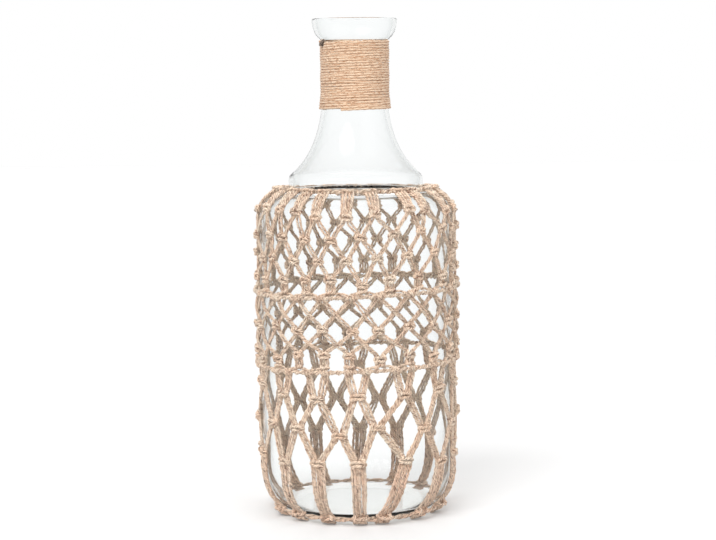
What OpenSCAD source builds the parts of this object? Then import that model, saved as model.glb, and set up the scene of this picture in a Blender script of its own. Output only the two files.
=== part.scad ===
// Clear glass bottle vase in a knotted jute net, with jute twine wound round its neck.
// Millimetres, +Z up, standing on z = 0 with its axis on the Z axis.
// Angles are in degrees from the front (-Y), positive towards +X.

/* [Glass] */
// Height of the whole bottle
bottle_h = 415; // [400:1:440]
// Outside diameter of the body
body_d = 164; // [150:1:180]
// Radius of the rounded bottom corner
corner_r = 38; // [32:1:42]
// Depth by which the rounded bottom corner is ground flat
base_cut = 1.5; // [1:0.1:3]
// Thickness of the glass in the body, bell and mouth
wall_t = 3; // [2.5:0.1:4]
// Thickness of the glass floor
floor_t = 7; // [5:0.5:12]
// Radius of the fillet inside, between the floor and the rounded corner
floor_fillet_r = 14; // [10:1:16]
// Height of the straight body wall between the two rounded corners
body_wall_h = 211.5; // [205:0.5:230]
// Radius of the rounded shoulder
shoulder_r = 24.5; // [22:0.5:30]
// Outside diameter of the foot of the bell that stands on the shoulder
bell_d = 113; // [108:1:116]
// Height of the upright foot of the bell
bell_foot_h = 8.5; // [6:0.5:10]
// Radius of the edge where the bell turns in
bell_edge_r = 6; // [3:0.5:8]
// Outside diameter of the neck
neck_d = 53.8; // [48:0.2:58]
// Length of the straight part of the neck
neck_h = 46; // [40:1:60]
// Length over which the bell's flare falls to about a third
flare_fall = 26; // [20:1:32]
// Outside diameter of the cup-shaped mouth
mouth_d = 71.2; // [66:0.2:76]
// Height of the cup-shaped mouth
mouth_h = 17.5; // [14:0.5:22]

/* [Neck winding] */
// Diameter of the twine wound round the neck
twine_d = 2.0; // [1.6:0.1:2.2]
// Number of turns of twine
twine_turns = 24; // [12:1:24]
// Gap between one turn and the next
turn_gap = 0.42; // [0.42:0.01:0.6]
// Distance from the mouth cup down to the first turn
winding_drop = 1; // [0.5:0.5:4]

/* [Net] */
// Diameter of the net's jute cords
cord_d = 2.1; // [1.6:0.1:2.2]
// Number of knot columns in the upper and middle net, four cords each
upper_columns = 21; // [20:1:22]
// Number of knot columns in the lower net, six cords each
lower_columns = 14; // [13:1:15]
// Radius of the collar cord that the net hangs from
collar_cord_r = 64.5; // [63:0.5:67]
// Radius of the ring cord under the bottom corner
base_ring_r = 72; // [70:0.5:74]
// Height of the first row of knots above the straight wall
first_row_rise = 8; // [6:0.5:10]
// Drop from one upper row of knots to the next
upper_row_drop = 17.2; // [16:0.1:18.5]
// Drop from the last upper row of knots to the upper band
upper_band_drop = 14.4; // [13:0.1:16]
// Drop from the upper band to the first middle row of knots
middle_row_drop = 27; // [25:0.5:30]
// Drop from the first to the second middle row of knots
middle_next_drop = 23; // [22:0.5:26]
// Drop from the second middle row of knots to the lower band
lower_band_drop = 10.7; // [10:0.1:12]
// Drop from the lower band to the first lower row of knots
lower_row_drop = 20; // [18:0.5:22]
// Drop from one lower row of knots to the next
lower_next_drop = 28; // [26:0.5:30]
// Height by which the net sits higher on its right side than on its left
net_lean = 3; // [0:0.5:4]
// Width of a square knot of four cords
knot_w = 9.4; // [8.8:0.1:10]
// Diameter of the two bars of a square knot
knot_bar_d = 2.6; // [2.2:0.1:3]

/* [Hidden] */

fit_gap = 0.3;       // clearance between a cord and what it lies on or meets
arc_step = 7.5;      // degrees between points of a rounded outline
sides = 96;          // sides of the turned pieces
cord_sides = 24;     // sides of a cord
bar_gap = 0.2;       // clearance between the two bars of a knot
cord_gap = 0.1;      // clearance between cords side by side
jute = "tan";
jute_dark = "peru";

// Heights and radii of the glass
body_r = body_d / 2;
neck_r = neck_d / 2;
mouth_r = mouth_d / 2;
bell_r = bell_d / 2;
corner_mid_r = body_r - corner_r;
corner_z = corner_r - base_cut;
shoulder_mid_r = body_r - shoulder_r;
shoulder_z = corner_z + body_wall_h;
shoulder_top = shoulder_z + shoulder_r;
bell_edge_z = shoulder_top + bell_foot_h;
edge_turn = 45;      // degrees by which the bell's edge turns in before the flare
flare_z = bell_edge_z + bell_edge_r * sin(edge_turn);
flare_start_r = bell_r - bell_edge_r * (1 - cos(edge_turn));
mouth_z = bottle_h - mouth_h;
neck_z = mouth_z - neck_h;

// Outside radius of the flare at height z: an exponential that ends on the neck
flare_end = exp(-(neck_z - flare_z) / flare_fall);
flare_size = (flare_start_r - neck_r) / (1 - flare_end);
function flare_radius(z) = neck_r + flare_size * (exp(-(z - flare_z) / flare_fall) - flare_end);

// Outside radius of the neck at height z, flare included
function neck_radius(z) = z > neck_z ? neck_r : flare_radius(z);

// Points of an arc about [x, z] from angle a to angle b, both ends included
function arc(x, z, r, a, b, n) = [for (i = [0:n]) let (t = a + (b - a) * i / n)
    [x + r * cos(t), z + r * sin(t)]];

// Number of steps for an arc from angle a to angle b
function steps(a, b) = ceil(abs(b - a) / arc_step);

// Outline of the glass from the floor to the rim, drawn in by the wall w. It starts at
// height low, and on the inside a fillet of radius f turns from the floor into the corner.
fillet_steps = 8;
flare_steps = 14;
mouth_steps = 8;
function glass_side(w, low, f) = let (
        r = corner_r - w,
        drop = corner_z - low - f,
        reach = sqrt(pow(r - f, 2) - pow(drop, 2)),
        a = -atan2(drop, reach))
    concat(
        f > 0 ? [for (i = [0:fillet_steps - 1]) let (t = -90 + (a + 90) * i / fillet_steps)
            [corner_mid_r + reach + f * cos(t), low + f + f * sin(t)]] : [],
        arc(corner_mid_r, corner_z, r, a, 0, steps(a, 0)),
        arc(shoulder_mid_r, shoulder_z, shoulder_r - w, 0, 83, steps(0, 83)),
        [[bell_r - w, shoulder_top + 1 - w]],
        arc(bell_r - bell_edge_r - w, bell_edge_z, bell_edge_r, 0, edge_turn, steps(0, edge_turn)),
        [for (i = [1:flare_steps]) let (z = flare_z + (neck_z - flare_z) * pow(i / flare_steps, 1.3))
            [flare_radius(z) - w, z]],
        [for (i = [0:mouth_steps]) let (t = 90 * i / mouth_steps)
            [neck_r - w + (mouth_r - neck_r) * sin(t), mouth_z + (mouth_h - wall_t / 2) * (1 - cos(t))]]);

// Radius of the body's skin, moved out by off, at height z
function skin_r(z, off) = z > shoulder_z
    ? shoulder_mid_r + sqrt(pow(shoulder_r + off, 2) - pow(z - shoulder_z, 2))
    : z < corner_z
    ? corner_mid_r + sqrt(pow(corner_r + off, 2) - pow(corner_z - z, 2))
    : body_r + off;

// Point on that skin at angle t and height z, moved sideways by u
function on_skin(t, z, off, u = 0) = let (r = skin_r(z, off))
    [r * sin(t) + u * cos(t), u * sin(t) - r * cos(t), z];

// Knot columns: the first angle of each family and the step between its columns
upper_step = 360 / upper_columns;
lower_step = 360 / lower_columns;
even_first = 3 - upper_step / 2;   // rows 1 and 3 of the upper net
odd_first = 3;                     // rows 2 and 4 of the upper net
middle_first = -3.5;               // the middle net and both bands
lower_first = 0;                   // rows 1 and 3 of the lower net
lower_half = lower_step / 2;       // row 2 of the lower net
knot_half = knot_bar_d + bar_gap / 2;

// Heights of the rows, from the top down
row_z = [shoulder_z + first_row_rise,
    for (i = [1:3]) shoulder_z + first_row_rise - i * upper_row_drop];
upper_band_z = row_z[3] - upper_band_drop;
middle_z = [upper_band_z - middle_row_drop, upper_band_z - middle_row_drop - middle_next_drop];
lower_band_z = middle_z[1] - lower_band_drop;
lower_z = [for (i = [0:2]) lower_band_z - lower_row_drop - i * lower_next_drop];

// Height of a net point at angle t: the net leans up towards the right
function lean(t, z) = z + net_lean * sin(t) * (z > shoulder_z ? 0.2 : z > lower_band_z ? 1 : 0.4);

// Rod of diameter d from point p to point q
module rod(p, q, d) {
    v = q - p;
    translate(p) rotate([0, acos(v.z / norm(v)), atan2(v.y, v.x)])
        cylinder(d = d, h = norm(v), $fn = cord_sides);
}

// Barrel of diameter d and length w lying across column t, with a bore if given
module barrel(t, r, z, w, d, bore = 0) {
    soft = (d - bore) / 4;
    rotate([0, 0, t]) translate([0, -r, z]) rotate([0, 90, 0])
        rotate_extrude($fn = cord_sides)
        polygon([[bore / 2, -w / 2], [d / 2 - soft, -w / 2], [d / 2, -w / 2 + soft],
            [d / 2, w / 2 - soft], [d / 2 - soft, w / 2], [bore / 2, w / 2]]);
}

// Square knot: two bars across the column, one above the other
module knot(t, z, w = knot_w) {
    for (side = [-1, 1]) let (h = z + side * (knot_bar_d + bar_gap) / 2)
        barrel(t, skin_r(h, knot_bar_d / 2 + fit_gap), h, w, knot_bar_d);
}

// Row of square knots
module knot_row(first, count, z, w = knot_w) {
    for (i = [0:count - 1]) let (t = first + i * 360 / count)
        knot(t, lean(t, z), w);
}

// Distance of a straight cord's middle line from the skin, so that a chord
// over the angle turn still clears the glass
function chord_off(turn) = cord_d / 2 + fit_gap + body_r * (1 - cos(turn / 2));

// Pitch of a leg's cords along the row, so that slanting cords lie side by side
function leg_pitch(a, ua, za, b, ub, zb) =
    (cord_d + cord_gap) * sqrt(1 + pow(((b - a) * PI / 180 * body_r + ub - ua) / (za - zb), 2));

// Offset of a leg of n cords at a knot, so that it clears the leg on the other side
function leg_shift(turn, drop, n) = let (
        slope = leg_pitch(0, n * cord_d / 2, drop, turn, -n * cord_d / 2, 0))
    (cord_d + cord_gap) / 2 + (n - 1) / 2 * slope;

// One leg of n straight cords from column a at height za down to column b at
// height zb; ua and ub move its ends sideways
module leg(a, ua, za, b, ub, zb, n) {
    off = chord_off(abs(b - a));
    pitch = leg_pitch(a, ua, za, b, ub, zb);
    for (i = [0:n - 1]) let (u = (i - (n - 1) / 2) * pitch)
        rod(on_skin(a, za, off, ua + u), on_skin(b, zb, off, ub + u), cord_d);
}

// Row of legs that leave each knot to both sides and meet the next row;
// side_turn is the angle from a knot to the knots that its legs reach
leg_reach = knot_half + cord_d / 2 + fit_gap;
module leg_row(first, count, za, zb, side_turn, n) {
    shift = leg_shift(side_turn, za - zb - 2 * leg_reach, n);
    for (i = [0:count - 1], side = [-1, 1]) let (
            a = first + i * 360 / count,
            b = a + side * side_turn)
        leg(a, side * shift, lean(a, za) - leg_reach, b, -side * shift, lean(b, zb) + leg_reach, n);
}

// Closed tube of six sides through the points, cut square at both ends
module tube(points, d) {
    n = len(points);
    m = 6;
    function way(i) = let (v = points[min(i + 1, n - 1)] - points[max(i - 1, 0)]) v / norm(v);
    rings = [for (i = [0:n - 1]) let (
            f = way(i), s = cross(f, [0, 0, 1]), e = s / norm(s), g = cross(e, f))
        for (k = [0:m - 1]) points[i] + d / 2 * (cos(60 * k) * e + sin(60 * k) * g)];
    walls = [for (i = [0:n - 2], k = [0:m - 1]) let (
            p = i * m + k, q = i * m + (k + 1) % m)
        each [[p, q, q + m], [p, q + m, p + m]]];
    caps = [for (k = [1:m - 2]) each [[0, k + 1, k],
        [(n - 1) * m, (n - 1) * m + k, (n - 1) * m + k + 1]]];
    polyhedron(rings, concat(walls, caps));
}

// Leg that climbs over the one it crosses: its middle stands clear by over
module crossing_leg(a, ua, za, b, ub, zb, n, over) {
    off = chord_off(abs(b - a));
    pitch = leg_pitch(a, ua, za, b, ub, zb);
    near = 0.38;
    function mix(p, q, f) = p + (q - p) * f;
    for (i = [0:n - 1]) let (u = (i - (n - 1) / 2) * pitch)
        tube([for (f = [0, near, 1 - near, 1])
            on_skin(mix(a, b, f), mix(za, zb, f), off + (f * (1 - f) > 0 ? over : 0),
                mix(ua, ub, f) + u)], cord_d);
}

// Row of legs that cross their neighbours: the legs to the left lie on the
// glass and the legs to the right climb over them
module crossing_row(za, zb) {
    turn = upper_step;
    shift = leg_shift(turn, za - zb - 2 * leg_reach, 2);
    for (i = [0:upper_columns - 1]) let (a = middle_first + i * turn, l = a - turn, r = a + turn) {
        leg(a, -shift, lean(a, za) - leg_reach, l, shift, lean(l, zb) + leg_reach, 2);
        crossing_leg(a, shift, lean(a, za) - leg_reach, r, -shift, lean(r, zb) + leg_reach, 2,
            cord_d + fit_gap);
    }
}

// Cords of a strap bent round a corner of radius r about [mid_r, mid_z];
// angles run from the top of the corner outwards and down
module bent_strap(t, mid_r, mid_z, r, from, to, n, pitch) {
    for (i = [0:n - 1]) let (u = (i - (n - 1) / 2) * pitch)
        rotate([0, 0, t]) translate([u, -mid_r, mid_z]) rotate([0, -90, 0])
        rotate([0, 0, -to]) rotate_extrude(angle = to - from, $fn = sides)
        translate([r, 0]) circle(d = cord_d, $fn = cord_sides);
}

// Clear glass, open from the mouth to the floor
module glass_bottle() {
    inner = glass_side(wall_t, floor_t, floor_fillet_r);
    color("lightcyan", 0.4)
    rotate_extrude($fn = sides)
    polygon(concat([[0, 0]], glass_side(0, 0, 0),
        arc(mouth_r - wall_t / 2, bottle_h - wall_t / 2, wall_t / 2, 15, 165, 10),
        [for (i = [len(inner) - 1:-1:0]) inner[i]], [[0, floor_t]]));
}

// Turns of twine from the top of the neck down, ends straight
turn_rings = 24;
turn_pitch = twine_d + turn_gap;
winding_top = mouth_z - winding_drop - twine_d / 2;
winding_z = winding_top - twine_turns * turn_pitch;
function turn_point(k) = let (
        z = winding_top - turn_pitch * k / turn_rings,
        r = neck_radius(z - twine_d / 2) + fit_gap + twine_d / 2,
        t = 150 + 360 * k / turn_rings)
    [r * sin(t), -r * cos(t), z];
turn_points = [for (k = [0:twine_turns * turn_rings]) turn_point(k)];
function straight_end(p, q) = p + (p - q) / norm(p - q) * twine_d;
winding_points = concat([straight_end(turn_points[0], turn_points[1])], turn_points,
    [straight_end(turn_points[len(turn_points) - 1], turn_points[len(turn_points) - 2])]);
winding_least = min([for (k = [0:turn_rings * (twine_turns - 1)])
    norm(turn_points[k + turn_rings] - turn_points[k])]) - twine_d;
echo(least_gap_between_turns = winding_least);

module neck_winding() {
    color(jute) tube(winding_points, twine_d);
}

// Small knot that closes the winding at the top left
module neck_winding_knot() {
    r = neck_r + fit_gap * 2 + twine_d * 1.5 + 0.1;
    color(jute_dark) barrel(-80, r, winding_top - turn_pitch, 4, twine_d * 0.9);
}

// Collar cord on the shoulder and the hitches that tie the straps to it
collar_hitch_d = cord_d * 2.1;
collar_off = collar_hitch_d / 2 + fit_gap;
collar_angle = asin((collar_cord_r - shoulder_mid_r) / (shoulder_r + collar_off));
collar_z = shoulder_z + (shoulder_r + collar_off) * cos(collar_angle);

module ring_cord(r, z) {
    translate([0, 0, z]) rotate_extrude($fn = sides)
        translate([r, 0]) circle(d = cord_d, $fn = cord_sides);
}

module collar_cord() {
    color(jute) ring_cord(collar_cord_r, collar_z);
}

module hitch_row(first, count, r, z, w, d) {
    for (i = [0:count - 1])
        barrel(first + i * 360 / count, r, z, w, d, cord_d + fit_gap);
}

module collar_hitches() {
    color(jute) hitch_row(even_first, upper_columns, collar_cord_r, collar_z, knot_w, collar_hitch_d);
}

// Straps of four cords from the collar down to the first row of knots
strap_pitch = (knot_w - cord_d) / 3;
strap_off = cord_d / 2 + fit_gap;
module collar_straps() {
    from = collar_angle + 2 * asin(collar_hitch_d / (2 * (shoulder_r + strap_off)));
    color(jute) for (i = [0:upper_columns - 1]) let (
            t = even_first + i * upper_step,
            top = lean(t, row_z[0]) + knot_half + fit_gap + cord_d * 0.3)
        bent_strap(t, shoulder_mid_r, shoulder_z, shoulder_r + strap_off,
            from, acos((top - shoulder_z) / (shoulder_r + strap_off)), 4, strap_pitch);
}

// Upper net: four rows of square knots joined by legs of two cords
module upper_knots(i) {
    color(jute) knot_row(i % 2 == 0 ? even_first : odd_first, upper_columns, row_z[i]);
}

module upper_legs(i) {
    color(jute) leg_row(i % 2 == 0 ? even_first : odd_first, upper_columns,
        row_z[i], row_z[i + 1], upper_step / 2, 2);
}

// Posts of four cords with a second knot, between the last upper row and the band
band_hitch_d = cord_d * 2.2;
band_r = body_r + fit_gap + band_hitch_d / 2;
module post_row(first, top, bottom) {
    for (i = [0:upper_columns - 1]) let (
            t = first + i * upper_step,
            zt = lean(t, top) - knot_half - fit_gap,
            zk = bottom + band_hitch_d / 2 + fit_gap + knot_half) {
        knot(t, zk);
        if (zt - zk - knot_half - fit_gap > 1)
            for (k = [0:3]) rod(on_skin(t, zt, strap_off, (k - 1.5) * strap_pitch),
                on_skin(t, zk + knot_half + fit_gap, strap_off, (k - 1.5) * strap_pitch), cord_d);
    }
}

module upper_posts() {
    color(jute) post_row(odd_first, row_z[3], upper_band_z);
}

// Band cords round the body and the hitches of the net on them
module upper_band_cord() {
    color(jute) ring_cord(band_r, upper_band_z);
}

module upper_band_hitches() {
    color(jute) hitch_row(middle_first, upper_columns, band_r, upper_band_z, knot_w, band_hitch_d);
}

// Middle net: two rows of knots, their legs crossing on the way
module middle_legs(i) {
    color(jute) crossing_row(i == 0 ? upper_band_z : middle_z[0], middle_z[i]);
}

module middle_knots(i) {
    color(jute) knot_row(middle_first, upper_columns, middle_z[i]);
}

module middle_posts() {
    color(jute) post_row(middle_first, middle_z[1], lower_band_z);
}

module lower_band_cord() {
    color(jute) ring_cord(band_r, lower_band_z);
}

// The lower net's legs leave the band in pairs, this angle to each side of a column
leg_spread = 5;
module lower_band_hitches() {
    color(jute) for (side = [-1, 1]) hitch_row(lower_first + side * leg_spread, lower_columns,
        band_r, lower_band_z, base_pitch * 3, band_hitch_d);
}

// Lower net: three rows of wider knots joined by legs of three cords
base_pitch = cord_d + cord_gap / 2;
lower_knot_w = 5 * base_pitch + cord_d + 0.8;
module lower_legs(i) {
    band_reach = band_hitch_d / 2 + fit_gap + cord_d / 2;
    color(jute) if (i == 0) {
        shift = leg_shift(leg_spread, lower_row_drop - band_reach - leg_reach, 3);
        for (k = [0:lower_columns - 1], side = [-1, 1]) let (t = lower_first + k * lower_step,
                a = t + side * leg_spread)
            leg(a, 0, lean(a, lower_band_z) - band_reach, t, side * shift,
                lean(t, lower_z[0]) + leg_reach, 3);
    } else leg_row(i == 1 ? lower_first : lower_first + lower_half, lower_columns,
        lower_z[i - 1], lower_z[i], lower_half, 3);
}

module lower_knots(i) {
    color(jute) knot_row(i == 1 ? lower_first + lower_half : lower_first, lower_columns,
        lower_z[i], lower_knot_w);
}

// Straps of six cords from the last knots round the bottom corner to the ring
base_knot_d = cord_d * 2.3;
ring_off = base_knot_d / 2 + fit_gap;
ring_angle = 180 - asin((base_ring_r - corner_mid_r) / (corner_r + ring_off));
ring_z = corner_z + (corner_r + ring_off) * cos(ring_angle);
module base_straps() {
    to = ring_angle - 2 * asin(base_knot_d / (2 * (corner_r + strap_off)));
    color(jute_dark) for (i = [0:lower_columns - 1]) let (
            t = lower_first + i * lower_step,
            top = lean(t, lower_z[2]) - knot_half - fit_gap) {
        bent_strap(t, corner_mid_r, corner_z, corner_r + strap_off, 90, to, 6, base_pitch);
        for (k = [-2.5:2.5]) rod(on_skin(t, corner_z, strap_off, k * base_pitch),
            on_skin(t, top, strap_off, k * base_pitch), cord_d);
    }
}

module base_knots() {
    color(jute_dark) hitch_row(lower_first, lower_columns, base_ring_r, ring_z, knot_w, base_knot_d);
}

module base_ring_cord() {
    color(jute_dark) ring_cord(base_ring_r, ring_z);
}

glass_bottle();
neck_winding();
neck_winding_knot();
collar_cord();
collar_hitches();
collar_straps();
upper_knots(0);  // upper_knots_1
upper_legs(0);  // upper_legs_1
upper_knots(1);  // upper_knots_2
upper_legs(1);  // upper_legs_2
upper_knots(2);  // upper_knots_3
upper_legs(2);  // upper_legs_3
upper_knots(3);  // upper_knots_4
upper_posts();
upper_band_cord();
upper_band_hitches();
middle_legs(0);  // middle_legs_1
middle_knots(0);  // middle_knots_1
middle_legs(1);  // middle_legs_2
middle_knots(1);  // middle_knots_2
middle_posts();
lower_band_cord();
lower_band_hitches();
lower_legs(0);  // lower_legs_1
lower_knots(0);  // lower_knots_1
lower_legs(1);  // lower_legs_2
lower_knots(1);  // lower_knots_2
lower_legs(2);  // lower_legs_3
lower_knots(2);  // lower_knots_3
base_straps();
base_knots();
base_ring_cord();
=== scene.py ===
import math
import bpy
import numpy as np
from mathutils import Matrix


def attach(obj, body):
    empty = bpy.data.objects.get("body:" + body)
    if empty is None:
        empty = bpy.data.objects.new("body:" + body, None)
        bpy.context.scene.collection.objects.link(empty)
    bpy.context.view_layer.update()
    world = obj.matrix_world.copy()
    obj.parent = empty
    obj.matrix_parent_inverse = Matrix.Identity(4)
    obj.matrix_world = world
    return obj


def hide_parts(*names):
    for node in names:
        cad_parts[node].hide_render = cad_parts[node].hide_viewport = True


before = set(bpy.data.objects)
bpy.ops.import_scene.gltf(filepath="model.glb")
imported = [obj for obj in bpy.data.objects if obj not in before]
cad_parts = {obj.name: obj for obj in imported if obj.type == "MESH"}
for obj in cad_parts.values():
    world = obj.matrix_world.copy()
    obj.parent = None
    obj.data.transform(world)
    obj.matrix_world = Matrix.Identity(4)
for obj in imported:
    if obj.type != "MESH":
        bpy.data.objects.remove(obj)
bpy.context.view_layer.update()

scene = bpy.context.scene
scene.view_settings.view_transform = "Standard"
mm = 0.001  # every size below is in millimetres, meshes are written in metres
print("frame loaded:", len(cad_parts), "nodes")

# Outside of the bottle that the net lies on: straight wall, rounded corner below, rounded shoulder above
skin = dict(
    wallRadius=82.0,
    cornerRadius=38.0,
    cornerHeight=36.5,
    shoulderRadius=24.5,
    shoulderHeight=248.0,
    lean=3.0,  # the net sits this much higher on the right side than in the middle
)
cord = dict(
    radius=0.96,
    groove=0.36,  # depth of the grooves between the three yarns, as a share of the radius
    lay=6.4,  # length of one turn of the yarns
    ringStep=0.8,  # distance between two rings of the mesh
    wander=0.36,  # how far a cord strays from its straight way
    kink=0.16,  # small bends of the cord itself
)
knotCord = dict(cord, radius=1.34, kink=0.3)  # the same cord, slacker where it turns in a knot
ropeCord = dict(cord, radius=1.12)
slackCord = dict(cord, radius=1.22, groove=0.42, lay=8.0)
twine = dict(radius=1.08, groove=0.06, lay=110.0, ringStep=0.95, kink=0.0)
draws = np.random.default_rng(41)


# Skin points: height is arc length up the wall and round both corners, out is the distance from the
# glass. On a corner the point lies at the corner's middle plus (radius + out) along the turn angle.
def skinPoints(angle, height, out):
    turn = np.radians(angle)
    up = np.clip(height - skin["shoulderHeight"], 0, None) / skin["shoulderRadius"]
    down = np.clip(skin["cornerHeight"] - height, 0, None) / skin["cornerRadius"]
    bend = np.where(up > 0, skin["shoulderRadius"], skin["cornerRadius"])
    tilt = up - down
    radius = skin["wallRadius"] - bend + (bend + out) * np.cos(tilt)
    rise = np.where(up > 0, skin["shoulderHeight"], np.where(down > 0, skin["cornerHeight"], height))
    rise = rise + (bend + out) * np.sin(tilt)
    points = np.column_stack([radius * np.sin(turn), -radius * np.cos(turn), rise])
    outward = np.column_stack([np.cos(tilt) * np.sin(turn), -np.cos(tilt) * np.cos(turn), np.sin(tilt)])
    return points, outward


# Control point on the skin: u millimetres to the side of a column, v above its height, w off the glass
def spot(angle, height, u, v, w):
    tilt = max(height - skin["shoulderHeight"], 0) / skin["shoulderRadius"]
    tilt = max(tilt, (skin["cornerHeight"] - height) / skin["cornerRadius"])
    bend = skin["shoulderRadius"] if height > skin["shoulderHeight"] else skin["cornerRadius"]
    radius = skin["wallRadius"] - bend * (1 - math.cos(max(tilt, 0)))
    return [angle + math.degrees(u / radius), height + v, w]


# Even steps: the points are read again at equal distances along the polyline
def evenly(points, step, *others):
    along = np.concatenate([[0], np.cumsum(np.linalg.norm(np.diff(points, axis=0), axis=1))])
    count = max(4, int(round(along[-1] / step)) + 1)
    at = np.linspace(0, along[-1], count)
    return at, [np.column_stack([np.interp(at, along, rows[:, k]) for k in range(3)])
                for rows in (points, *others)]


# Smooth way of a cord: straight stretches between its control points, averaged over a window
def cordWay(controls, window=2.6, step=0.35):
    scale = np.array([math.radians(1) * skin["wallRadius"], 1, 1])
    _, (way,) = evenly(np.array(controls, float) * scale, step)
    size = min(2 * int(window / step / 2) + 1, 2 * ((len(way) - 1) // 2) - 1)
    weights = np.hanning(size + 2)[1:-1]
    weights = weights / weights.sum()
    padded = np.pad(way, ((size // 2, size // 2), (0, 0)), mode="reflect", reflect_type="odd")
    way = np.column_stack([np.convolve(padded[:, k], weights, mode="valid") for k in range(3)])
    return way / scale


# Twisted cord: a ring of sides round each point of the way, three ridges and three grooves that turn
# once a lay. Ring point = way + kink waves + radius * (1 +- groove) * (cos side + sin up).
def twistedCord(points, outward, size, sides=9, yarns=3, loose=0.07):
    along, (points, outward) = evenly(points, size["ringStep"], outward)
    forward = np.gradient(points, axis=0)
    forward /= np.linalg.norm(forward, axis=1)[:, None]
    side = np.cross(forward, outward)
    side /= np.linalg.norm(side, axis=1)[:, None] + 1e-9
    up = np.cross(side, forward)
    start, *swing = draws.uniform(0, 2 * math.pi, 5)
    swell = 1 + loose * (np.sin(0.9 * along + swing[0]) + 0.7 * np.sin(2.3 * along + swing[1]))
    held = size["kink"] * np.clip(np.minimum(along, along[-1] - along) / 3, 0, 1)
    bends = [held * np.sin(rate * along + phase) for rate, phase in ((1.15, swing[2]), (0.8, swing[3]))]
    points = points + bends[0][:, None] * side + bends[1][:, None] * up
    corner = np.arange(sides)
    turn = start + 2 * math.pi * (along[:, None] / size["lay"] + corner[None, :] / sides)
    ridge = np.where(corner % (sides // yarns) == sides // yarns - 1, 1 - size["groove"], 1 + size["groove"] / 4)
    reach = size["radius"] * swell[:, None] * ridge[None, :]
    rings = points[:, None, :] + reach[..., None] * (
        np.cos(turn)[..., None] * side[:, None, :] + np.sin(turn)[..., None] * up[:, None, :])
    rows, cols = np.meshgrid(np.arange(len(points) - 1), corner, indexing="ij")
    nextCol = (cols + 1) % sides
    quads = np.stack([rows * sides + cols, (rows + 1) * sides + cols,
                      (rows + 1) * sides + nextCol, rows * sides + nextCol], axis=-1).reshape(-1, 4)
    offset = draws.uniform(0, 60)
    u = (along / 10 + offset)
    quadUv = np.stack([
        np.stack([u[rows], cols / sides], axis=-1), np.stack([u[rows + 1], cols / sides], axis=-1),
        np.stack([u[rows + 1], (cols + 1) / sides], axis=-1), np.stack([u[rows], (cols + 1) / sides], axis=-1),
    ], axis=-2).reshape(-1, 2)
    last = (len(points) - 1) * sides
    caps = np.stack([corner, last + corner[::-1]])
    capUv = np.column_stack([np.repeat([u[0], u[-1]], sides), np.tile(corner / sides, 2)])
    return dict(points=rings.reshape(-1, 3), quads=quads, quadUv=quadUv, caps=caps, capUv=capUv,
                shade=np.full(len(points) * sides, draws.uniform(0, 1)))


# A cord on the skin, through its control points
def laidCord(controls, window=2.6, size=cord):
    way = cordWay(controls, window)
    points, outward = skinPoints(way[:, 0], way[:, 1], way[:, 2])
    points[:, 2] = np.maximum(points[:, 2], size["radius"] * 1.12)
    return twistedCord(points, outward, size)


# One mesh piece from many cords, in the place of the CAD node of the same name
def cordPiece(name, strands, material):
    starts = np.cumsum([0] + [len(s["points"]) for s in strands])
    points = np.concatenate([s["points"] for s in strands]) * mm
    quads = np.concatenate([s["quads"] + n for s, n in zip(strands, starts)])
    caps = np.concatenate([s["caps"] + n for s, n in zip(strands, starts)])
    uv = np.concatenate([s["quadUv"] for s in strands] + [s["capUv"] for s in strands])
    shade = np.concatenate([s["shade"] for s in strands])
    mesh = bpy.data.meshes.new(name)
    mesh.vertices.add(len(points))
    mesh.vertices.foreach_set("co", points.ravel())
    corners = np.concatenate([quads.ravel(), caps.ravel()])
    mesh.loops.add(len(corners))
    mesh.loops.foreach_set("vertex_index", corners)
    sizes = np.concatenate([np.full(len(quads), 4), np.full(len(caps), caps.shape[1])])
    mesh.polygons.add(len(sizes))
    mesh.polygons.foreach_set("loop_start", np.concatenate([[0], np.cumsum(sizes)[:-1]]))
    mesh.polygons.foreach_set("use_smooth", np.arange(len(sizes)) < len(quads))
    mesh.uv_layers.new(name="UVMap").data.foreach_set("uv", uv.ravel())
    mesh.attributes.new("shade", "FLOAT", "POINT").data.foreach_set("value", shade)
    mesh.update(calc_edges=True)
    mesh.materials.append(material)
    piece = bpy.data.objects.new(name + "_cords", mesh)
    scene.collection.objects.link(piece)
    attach(piece, "root")
    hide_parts(name)
    print(name, "made:", 2 * len(quads), "triangles")
    return piece


# Materials

def newMaterial(name, roughness):
    material = bpy.data.materials.new(name)
    material.use_nodes = True
    shader = material.node_tree.nodes["Principled BSDF"]
    shader.inputs["Roughness"].default_value = roughness
    return material, material.node_tree, shader


def addNode(tree, kind, settings=None, **inputs):
    node = tree.nodes.new(kind)
    for key, value in (settings or {}).items():
        setattr(node, key, value)
    for key, value in inputs.items():
        node.inputs[int(key[2:]) if key.startswith("in") else key].default_value = value
    return node


def join(tree, source, target):
    tree.links.new(source, target)


def mathNode(tree, operation, first, second=None, clamp=False):
    node = tree.nodes.new("ShaderNodeMath")
    node.operation = operation
    node.use_clamp = clamp
    for socket, value in zip(node.inputs, (first, second)):
        if isinstance(value, (int, float)):
            socket.default_value = value
        elif value is not None:
            join(tree, value, socket)
    return node.outputs[0]


def mixColour(tree, amount, first, second, blend="MIX"):
    node = addNode(tree, "ShaderNodeMix", dict(data_type="RGBA", blend_type=blend))
    for socket, value in zip((node.inputs[0], node.inputs[6], node.inputs[7]), (amount, first, second)):
        if isinstance(value, (int, float, tuple)):
            socket.default_value = value
        else:
            join(tree, value, socket)
    return node.outputs[2]


def sRgb(red, green, blue):
    return tuple((c / 255 / 12.92) if c <= 10 else ((c / 255 + 0.055) / 1.055) ** 2.4
                 for c in (red, green, blue)) + (1.0,)


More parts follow.
